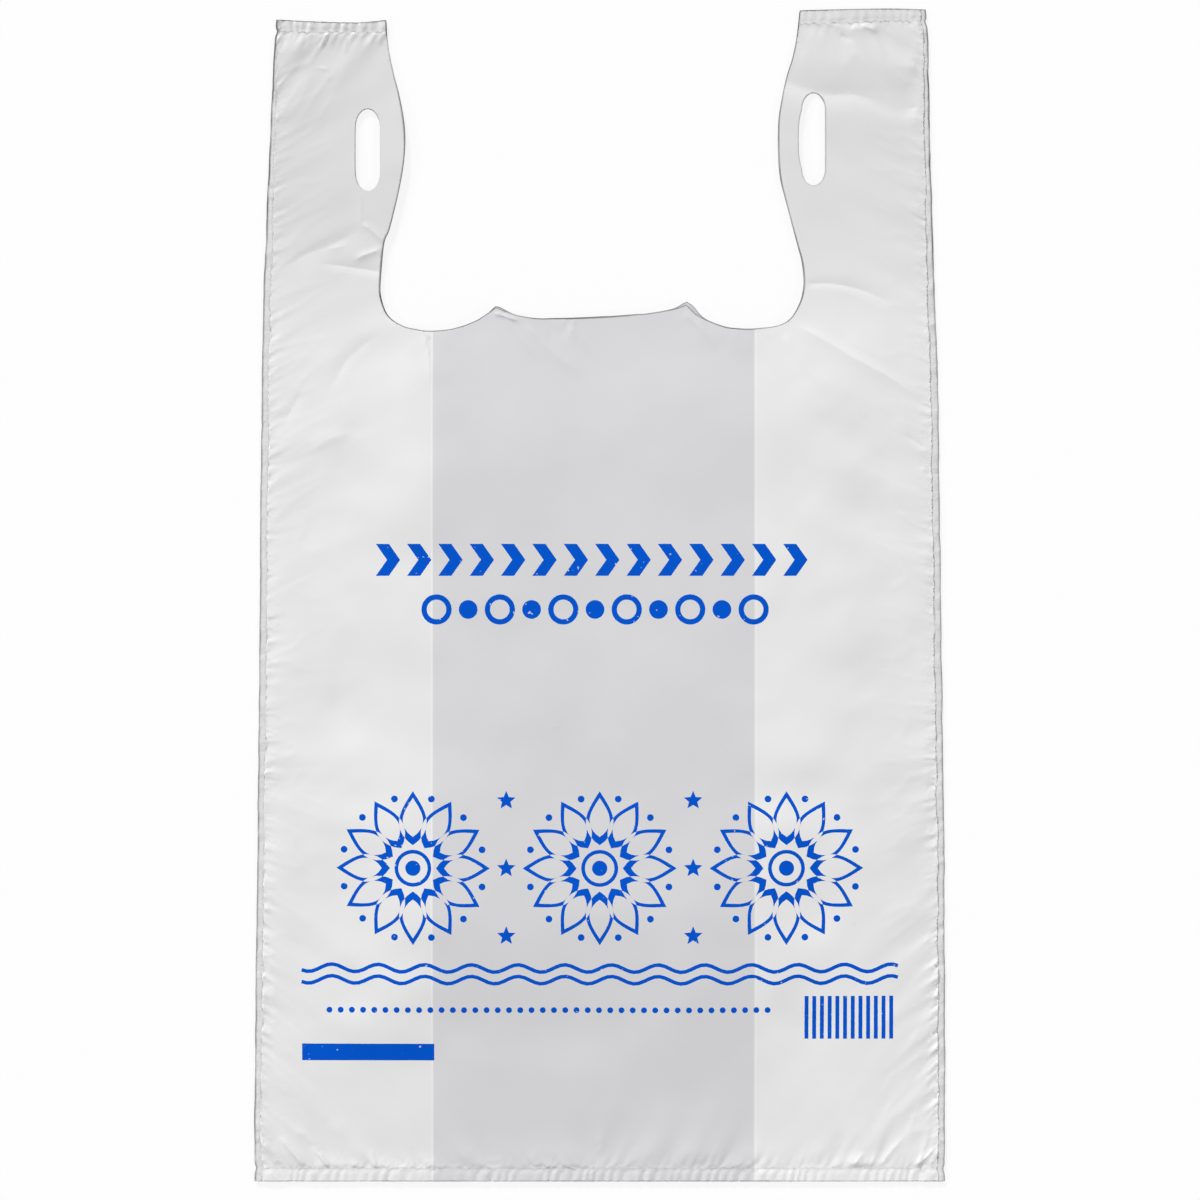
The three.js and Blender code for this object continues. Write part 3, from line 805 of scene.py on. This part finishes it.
def painted_edge_shade(points, outline, slots):
    """How much painted shade each point gets, from 0 to 1, because an edge, a fold or a weld is near."""
    x, y = points.T
    # painted shade at the right slot's edge
    dark = np.where(x < 0, 0, 0.2) * np.max([near_edge(points, slot, *EDGE_LINE) for slot in slots], axis=0)
    dashes = 0.75 * creases(y / 2.2, x / 40, 8, 0.3)
    handles = (np.abs(x) < 96) & (y > 130) & (y < 240)
    # how deep the painted shade along the cut edge is at the left and right handles' inner edges, the bottom,
    # the tops, the two scoops, and the mouth
    places = [handles & (x < 0), handles, y < -240, y > 240, (x < -45) & (y < 130), (x > 38) & (y < 130)]
    level = np.select(places, [0.46, 0.66, 0.66, 1, 0.98, 0.74], 0.75)
    cut = near_edge(points, outline, *EDGE_LINE) * clamped(level + 0.22 * ripples(x / 9, y / 9, 10))
    # painted shade along the outer folds, where the film turns from the light
    outer = near_edge(points, outline, *FOLD_LINE) * clamped(0.62 + 0.4 * ripples(y / 6, x / 40, 17))
    outer = clamped(outer * (np.where(x < 0, 0.92, 0.62) + 0.8 * smooth((y - 100) / 60)))
    dark = np.maximum(dark, np.where(on_front_fold(x, y), cut * dashes, cut))
    dark = np.maximum(dark, np.where(from_side(x, y, back_fold) < 0.9, outer, 0))
    # painted shade in the welds' grooves and crinkles
    weld = np.exp(-((from_weld(x, y) / 0.32) ** 2)) * (0.16 + 0.5 * creases(x / 1.9, 0, 9, 0.55))
    weld = weld * np.where(y < 0, 0.6, 1)
    return np.maximum(dark, weld)


def crinkled_at(x, y):
    """How finely crinkled the film is, from 0 to 1: most along the side folds, the strips and the welds."""
    side = np.maximum(from_side(x, y), 0)
    weld = from_weld(x, y)
    at_welds = 0.9 * np.exp(-np.abs(weld) / 1.1) + 0.2 * (weld < 0)
    return clamped(np.exp(-side / 1.5) + at_welds + 0.12 * np.exp(-side / 12))


def make_sheet(name, outline, height_at, slots, loose, lines=(), ink=(), region=None, plain=FOUR_OR_TWO):
    """One sheet as its corners, triangles, material numbers, painted edge shade and crinkling."""
    bounds = [outline, *slots, *([region] if region is not None else []), *ink]
    first_ink = len(bounds) - len(ink)
    points, triangles, inside = triangulate(bounds, lines, loose)
    must = {0} if region is None else {0, 1 + len(slots)}
    holes = set(range(1, 1 + len(slots)))
    kept, finish = [], []
    for triangle, numbers in zip(triangles, map(set, inside)):
        if must <= numbers and not numbers & holes:
            kept.append(triangle)
            inked = sum(number >= first_ink for number in numbers) % 2
            finish.append(INK if inked else plain)
    used = np.unique(kept)
    renumber = np.zeros(len(points), int)
    renumber[used] = np.arange(len(used))
    x, y = points[used].T
    edge = painted_edge_shade(points[used], outline, slots)
    print(f"{name}: {len(used)} points, {len(kept)} triangles, {finish.count(INK)} of them printed")
    return np.column_stack([x, y, height_at(x, y)]), renumber[np.array(kept)], finish, edge, crinkled_at(x, y)


# %% [markdown]
# ## The tube
#
# The front panel is the sheet that the camera sees, so it has the creases as kept lines and the print as
# outlines. The gussets and the back panel are coarser. Sheets that share a fold have the same points along
# it, so merging by distance welds the six sheets into one tube. The real film is about 0.04 mm thick, far
# less than a pixel, so the tube stays a single surface and the triangles go into its wrinkles.

# %% The front panel
STEPS = (0.72, 1.1, 2.2, 4)  # between points, from the sharpest wrinkles to the calm middle

front_slots = [slot_outline(*slot) for slot in SLOTS]
back_slots = [slot_outline(*slot, grow=-0.25) for slot in SLOTS]


def near_folds(x, y):
    """How far points lie from the nearest fold of the panel's list, beyond the fold's own reach."""
    away = np.full(len(x), np.inf)
    for one in FOLDS:
        reach = min(max(one["left"], one["right"]), 6)
        for start, end in zip(one["line"][:-1:3], one["line"][1::3]):
            middle = (start + end) / 2
            away = np.minimum(away, np.hypot(x - middle[0], y - middle[1]) - reach)
    return away


def panel_detail(x, y):
    """The step that each place of the front panel needs."""
    side, weld = from_side(x, y), from_weld(x, y)
    folds = near_folds(x, y)
    sharp = (side < 5) | (weld < 5.5)
    fine = (side < 24) | (weld < 14) | (folds < 0.5)
    middle = (side < 40) | (weld < 30) | (y > 95) | (folds < 4)
    return np.select([sharp, fine, middle], STEPS[:3], STEPS[3])


def on_bag(x, y):
    return (from_side(x, y, back_fold) > 0.4) & (y < 246.5 + 5 * (x > 0))


def weld_line(left, right, height_at):
    x = np.arange(left + 0.3, right - 0.3, 0.7)
    return np.column_stack([x, height_at(x)])


weld_lines = [weld_line(front_fold(-1, BOTTOM_WELD), front_fold(1, BOTTOM_WELD), bottom_weld),
              weld_line(-136.5, -91.8, top_weld), weld_line(85.4, 137, top_weld)]
weld_rows = [rows_beside(line, (-1.6, -0.9, -0.4, 0.4, 0.9, 1.6)) for line in weld_lines]
sides = [side_fold(1, front_fold), side_fold(-1, front_fold)[::-1]]
edge_rows = [rows_beside(line, FOLD_ROWS) for line in sides] + [rows_beside(front_outline, EDGE_LINE)]
edge_rows += [rows_beside(slot[::-1], EDGE_LINE) for slot in front_slots]
crease_rows = [rows_beside(one["line"], (-0.45, 0.45)) for one in FOLDS if min(one["left"], one["right"]) < 5]

grids = [grid(step, lambda x, y: on_bag(x, y) & (panel_detail(x, y) == step)) for step in STEPS]
crease_lines = [one["line"][1:-1] for one in FOLDS if not one["soft"]]
held = np.vstack([front_outline, *front_slots, *prints, *crease_lines])
batches = [(held, 0), (np.vstack([*edge_rows, *weld_lines]), 0.09),
           (np.vstack([*weld_rows, *crease_rows]), 0.3)]
batches += [(points, 0.5 * step) for points, step in zip(grids, STEPS)]
front_loose = spread(batches)[len(held):]
front = make_sheet("front panel", front_outline, front_surface, front_slots, front_loose, crease_lines,
                   prints)

# %% The back panel and the gussets
def hidden_points(fold, outline, slots):
    """Few points for a sheet that shows only at its edges."""
    rows = [rows_beside(side_fold(1, fold), FOLD_ROWS), rows_beside(side_fold(-1, fold)[::-1], FOLD_ROWS),
            rows_beside(outline, EDGE_LINE)]
    calm = grid(8, on_bag)
    sides = grid(3.2, lambda x, y: on_bag(x, y) & ((from_side(x, y, fold) < 9) | (from_weld(x, y) < 9)))
    held = np.vstack([outline, *slots])
    return spread([(held, 0), (np.vstack(rows), 0.2), (sides, 1.4), (calm, 3)])[len(held):]


def gusset_region(side):
    """A rectangle from a gusset's inner fold to past the bag's edge, with points along the fold."""
    inner, outer = INNER_FOLDS[0 if side < 0 else 1], side * (HALF_WIDTH + 5)
    fold_line = even_steps([(inner, BOTTOM - 5), (inner, highest[1] + 5)], 2.0)
    return np.vstack([fold_line, [(outer, highest[1] + 5), (outer, BOTTOM - 5)]])


back_loose = hidden_points(back_fold, back_outline, back_slots)
upper_loose = hidden_points(front_fold, front_outline, front_slots)
sheets = [front, make_sheet("back panel", back_outline, back_surface, back_slots, back_loose)]
for side, hand in ((-1, "left"), (1, "right")):
    region = gusset_region(side)
    sheets += [make_sheet(f"{hand} upper gusset layer", front_outline, upper_gusset, front_slots,
                          upper_loose, region=region),
               make_sheet(f"{hand} lower gusset layer", back_outline, lower_gusset, back_slots,
                          back_loose, region=region, plain=TWO_LAYERS)]

# %% The film as one mesh
corners, triangles, finishes, edges, crinkles = zip(*sheets)
starts = np.cumsum([0] + [len(points) for points in corners])
all_corners = np.vstack(corners) / 1000
all_triangles = np.vstack([group + start for group, start in zip(triangles, starts)])
mesh = bpy.data.meshes.new("bag_film")
mesh.from_pydata(all_corners.tolist(), [], all_triangles.tolist())
mesh.polygons.foreach_set("material_index", np.concatenate(finishes))
for name, values in (("edge_shade_line", edges), ("crinkled", crinkles)):
    mesh.attributes.new(name, "FLOAT", "POINT").data.foreach_set("value", np.concatenate(values))

welding = bmesh.new()
welding.from_mesh(mesh)
before = len(welding.verts)
bmesh.ops.remove_doubles(welding, verts=welding.verts, dist=1e-6)
bmesh.ops.recalc_face_normals(welding, faces=welding.faces)
print("points joined along shared folds:", before - len(welding.verts))
welding.to_mesh(mesh)
welding.free()
mesh.shade_smooth()

bag = bpy.data.objects.new("bag_film", mesh)
bpy.context.scene.collection.objects.link(bag)
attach(bag, "root")
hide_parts("carrier_bag")

# %% [markdown]
# ## Materials
#
# The film is low-density polyethylene with some white in it, blown as a tube. It is soft and half matt: its
# highlights are broad and weak. One layer lets much light through, so the sides, where four layers lie on
# each other, look paler than the middle, where there are two. The step follows the gussets' inner folds,
# with a still paler line where the film is folded, so that colour depends on X. The right side is a little
# paler still, painted light that makes up for the shade of the lamps from the left, and the handles get a
# painted shade, greyer towards their tops.

# %% Node helper and colours
def linear(hex_colour):
    """A colour written as sRGB hex, as the linear values that a shader takes."""
    values = [int(hex_colour[place:place + 2], 16) / 255 for place in (1, 3, 5)]
    return [((v + 0.055) / 1.055) ** 2.4 if v > 0.04045 else v / 12.92 for v in values] + [1]


def add(tree, kind, settings):
    """Adds a node. Each setting is a property, or a value, a socket or a node for one of its inputs."""
    node = tree.nodes.new("ShaderNode" + kind)
    for key, value in settings.items():
        if isinstance(value, bpy.types.Node):
            value = value.outputs[0]
        if isinstance(value, bpy.types.NodeSocket):
            tree.links.new(value, node.inputs[key])
        elif isinstance(key, str) and hasattr(node, key):
            setattr(node, key, value)
        else:
            node.inputs[key].default_value = value
    return node


def calculated(tree, operation, *values):
    return add(tree, "Math", {"operation": operation, **dict(enumerate(values))})


def mixed(tree, share, first, second, blend="MIX"):
    mix = add(tree, "Mix", {"data_type": "RGBA", "blend_type": blend, 0: share, 6: first, 7: second})
    return mix.outputs[2]


def new_material(name):
    material = bpy.data.materials.new(name)
    material.use_nodes = True
    material.node_tree.nodes.clear()
    return material, material.node_tree


def new_film(name):
    """A new material, its nodes, and the place on the object in metres."""
    material, tree = new_material(name)
    return material, tree, add(tree, "TexCoord", {}).outputs["Object"]


# %% [markdown]
# ### Blown film
#
# Polyethylene has an IOR of about 1.51. The die that the tube is blown through leaves faint lines along
# it, about a millimetre apart, and the film is never quite even in thickness, which shows as clouds a few
# centimetres wide. Its cut edges are seen end on, where light has a long way through it, so they look a
# little dark; the thin dark line along them, the slots, the outer folds and the welds is mostly painted
# shade, where the film drops to the layers under it and turns from the light.

# %% The film's materials
FILM_IOR = 1.51
FOUR_LAYERS_COLOUR = "#e3e3e3"
RIGHT_SIDE_LIT_COLOUR = "#e6e6e6"  # painted light: the right side is paler, to make up for the lamps from the left
INNER_FOLD_COLOUR = "#ececec"
TWO_LAYERS_COLOUR = "#d4d4d6"
BACK_LOBE_COLOUR = "#d9d9d9"
HANDLE_PAINTED_SHADE = 0.91  # painted shade: the handles are a little greyer towards their tops
HANDLE_SHADING_SPAN = (115 / 1000, 165 / 1000)  # it gets greyer between these heights
# painted shade: the colour of the thin dark line along edges, folds and welds, and how much of it shows
EDGE_SHADE_COLOUR = "#4c4c4e"
EDGE_SHADE_SHARE = 0.9
INK_COLOUR = "#0253c6"
DIE_LINES = 1.1 / 1000  # distance between the die lines
CLOUDS = 30 / 1000
CLOUD_CHANGE = 0.035  # how much they change the colour
ROUGHNESS_CHANGE = 0.06  # and the roughness
GRAIN = 0.8 / 1000
PINHOLES = 1.4 / 1000  # size of the noise whose rare peaks are pinholes in the ink
PINHOLE_PEAKS = (0.8, 0.82)  # the film shows where the noise is above these
BUMP_DEPTH = 0.02 / 1000
BUMP_STRENGTH = 0.2
CRINKLES = 1.3 / 1000  # distance between the crinkles at the folds and welds
CRINKLE_DEPTH = 0.9 / 1000
RAMP_HALF = 80 / 1000  # the ramp of colours spans this much on each side of the middle


def surface_bump(tree, position):
    """Die lines along the tube, grain, and crinkles at the folds and welds."""
    stretch = add(tree, "Mapping", {"Vector": position, "Scale": (1 / DIE_LINES, 0.02 / DIE_LINES, 0)})
    lines = add(tree, "TexNoise", {"Vector": stretch, "Scale": 1, "Detail": 1})
    grain = add(tree, "TexNoise", {"Vector": position, "Scale": 1 / GRAIN, "Detail": 2})
    height = calculated(tree, "MULTIPLY_ADD", grain, 0.5, lines)
    crinkled = add(tree, "Attribute", {"attribute_name": "crinkled"}).outputs["Fac"]
    crinkle = add(tree, "TexNoise", {"Vector": position, "Scale": 1 / CRINKLES, "Detail": 1})
    depth = calculated(tree, "MULTIPLY", crinkled, CRINKLE_DEPTH / BUMP_DEPTH)
    height = calculated(tree, "MULTIPLY_ADD", crinkle, depth, height)
    return add(tree, "Bump", {"Height": height, "Strength": BUMP_STRENGTH, "Distance": BUMP_DEPTH})


def finished(tree, position, colour, roughness, gloss=0.5):
    """Adds clouds and the dark edge line of painted shade to a colour, and a shader with an uneven roughness.
    """
    clouds = add(tree, "TexNoise", {"Vector": position, "Scale": 1 / CLOUDS, "Detail": 3})
    shade = add(tree, "MapRange", {"Value": clouds, 3: 1 - CLOUD_CHANGE, 4: 1 + CLOUD_CHANGE})
    cloudy = mixed(tree, 1.0, colour, shade, "MULTIPLY")
    edge = add(tree, "Attribute", {"attribute_name": "edge_shade_line"}).outputs["Fac"]
    edged = mixed(tree, calculated(tree, "MULTIPLY", edge, EDGE_SHADE_SHARE), cloudy, linear(EDGE_SHADE_COLOUR))
    uneven = add(tree, "MapRange", {"Value": clouds, 3: roughness - ROUGHNESS_CHANGE,
                                    4: roughness + ROUGHNESS_CHANGE})
    shader = add(tree, "BsdfPrincipled", {"Base Color": edged, "Roughness": uneven, "IOR": FILM_IOR,
                                          "Specular IOR Level": gloss,
                                          "Normal": surface_bump(tree, position)})
    add(tree, "OutputMaterial", {"Surface": shader})


def layered_film():
    """Film whose colour follows the number of layers, which changes at the gussets' inner folds. The right
    side gets painted light, and the handles a painted shade.
    """
    material, tree, position = new_film("blown LDPE film over its gussets")
    x, y, _ = add(tree, "SeparateXYZ", {"Vector": position}).outputs
    place = add(tree, "MapRange", {"Value": x, 1: -RAMP_HALF, 2: RAMP_HALF})
    ramp = add(tree, "ValToRGB", {"Fac": place})
    left, right = INNER_FOLDS
    # the right side's last stop is painted light that makes up for the lamps from the left
    stops = [(left - 1, FOUR_LAYERS_COLOUR), (left - 0.8, INNER_FOLD_COLOUR), (left - 0.2, INNER_FOLD_COLOUR),
             (left, TWO_LAYERS_COLOUR), (right, TWO_LAYERS_COLOUR), (right + 0.2, INNER_FOLD_COLOUR),
             (right + 0.7, INNER_FOLD_COLOUR), (right + 0.9, RIGHT_SIDE_LIT_COLOUR)]
    elements = ramp.color_ramp.elements
    for index, (stop, colour) in enumerate(stops):
        element = elements[index] if index < 2 else elements.new(1)
        element.position = (stop / 1000 + RAMP_HALF) / (2 * RAMP_HALF)
        element.color = linear(colour)
    low, high = HANDLE_SHADING_SPAN
    # painted shade: the handles get greyer towards their tops
    painted_handle_shade = add(tree, "MapRange", {"Value": y, 1: low, 2: high, 3: 1, 4: HANDLE_PAINTED_SHADE})
    finished(tree, position, mixed(tree, 1.0, ramp, painted_handle_shade, "MULTIPLY"), 0.3)
    return material


def plain_film():
    material, tree, position = new_film("blown LDPE film, back lobe")
    finished(tree, position, linear(BACK_LOBE_COLOUR), 0.38)
    return material


def printed_film():
    material, tree, position = new_film("flexographic ink on LDPE film")
    low, high = PINHOLE_PEAKS
    dots = add(tree, "TexNoise", {"Vector": position, "Scale": 1 / PINHOLES, "Detail": 0})
    bare = add(tree, "MapRange", {"Value": dots, 1: low, 2: high, 3: 0, 4: 0.6})
    finished(tree, position, mixed(tree, bare, linear(INK_COLOUR), linear(FOUR_LAYERS_COLOUR)), 0.5, 0.03)
    return material


for make in (layered_film, plain_film, printed_film):
    mesh.materials.append(make())
print("materials:", [material.name for material in mesh.materials])

# %% [markdown]
# ## The light, the table and the camera
#
# A surface renders in its own colour when all the light on it adds up to one: the world's strength, and
# for each far lamp its strength times the sine of its height, over pi. So each lamp is given as a share
# of that one. The lamps are low, because only a low light shows slopes of a few degrees.

# %% Light
WORLD_SHARE = 0.34


def lamp(name, azimuth, elevation, share, softness):
    """A far lamp, even over the whole bag, that gives a flat, level surface that share of its colour."""
    a, e = math.radians(azimuth), math.radians(elevation)
    towards = Vector((math.sin(a) * math.cos(e), math.cos(a) * math.cos(e), math.sin(e)))
    light = bpy.data.lights.new(name, "SUN")
    light.angle = math.radians(softness)
    light.energy = share * math.pi / math.sin(e)
    body = bpy.data.objects.new(name, light)
    body.location = towards
    body.rotation_mode = "QUATERNION"
    body.rotation_quaternion = towards.to_track_quat("Z", "Y")
    bpy.context.scene.collection.objects.link(body)
    print(f"{name}: {light.energy:.2f} W per square metre")


lamp("key lamp", azimuth=-24, elevation=27, share=0.41, softness=8)
lamp("side lamp", azimuth=-82, elevation=27, share=0.12, softness=8)
lamp("fill lamp", azimuth=120, elevation=38, share=0.15, softness=14)

world = bpy.data.worlds.new("studio")
bpy.context.scene.world = world
world.use_nodes = True
sky = world.node_tree.nodes["Background"].inputs
sky["Color"].default_value = (1, 1, 1, 1)
sky["Strength"].default_value = WORLD_SHARE

# %% The table
FLOOR_WHITE = 0.85  # the share of the floor's look that is plain white, and the rest shows shadows
TABLE_REACH = 3
TABLE_LEVEL = -0.0004


def studio_table():
    """White to the camera and in reflections, but with a share of real surface that takes the shadow."""
    material, tree = new_material("white studio table")
    path = add(tree, "LightPath", {}).outputs
    seen = calculated(tree, "MAXIMUM", path["Is Camera Ray"], path["Is Glossy Ray"])
    seen = calculated(tree, "MAXIMUM", seen, path["Is Transmission Ray"])
    surface = add(tree, "BsdfDiffuse", {"Color": linear("#f4f4f4")})
    white = add(tree, "Emission", {"Strength": 1.0})
    share = calculated(tree, "MULTIPLY", seen, FLOOR_WHITE)
    add(tree, "OutputMaterial", {"Surface": add(tree, "MixShader", {0: share, 1: surface, 2: white})})
    return material


table = bpy.data.meshes.new("table")
square = [(-1, -1), (1, -1), (1, 1), (-1, 1)]
table.from_pydata([(TABLE_REACH * x, TABLE_REACH * y, TABLE_LEVEL) for x, y in square], [], [(0, 1, 2, 3)])
table.materials.append(studio_table())
floor = bpy.data.objects.new("table", table)
bpy.context.scene.collection.objects.link(floor)

# %% The camera
# It looks straight down on a point just off the bag's middle, and sees this width of the table.
CAMERA_PLACE = (0.00013, -0.00215, 1.75)
FRAME_WIDTH = 0.516
camera_data = bpy.data.cameras.new("camera")
camera_data.sensor_width = 36
camera_data.lens = camera_data.sensor_width * CAMERA_PLACE[2] / FRAME_WIDTH
camera = bpy.data.objects.new("camera", camera_data)
camera.location = CAMERA_PLACE
bpy.context.scene.collection.objects.link(camera)
bpy.context.scene.camera = camera
bpy.context.scene.view_settings.view_transform = "Standard"
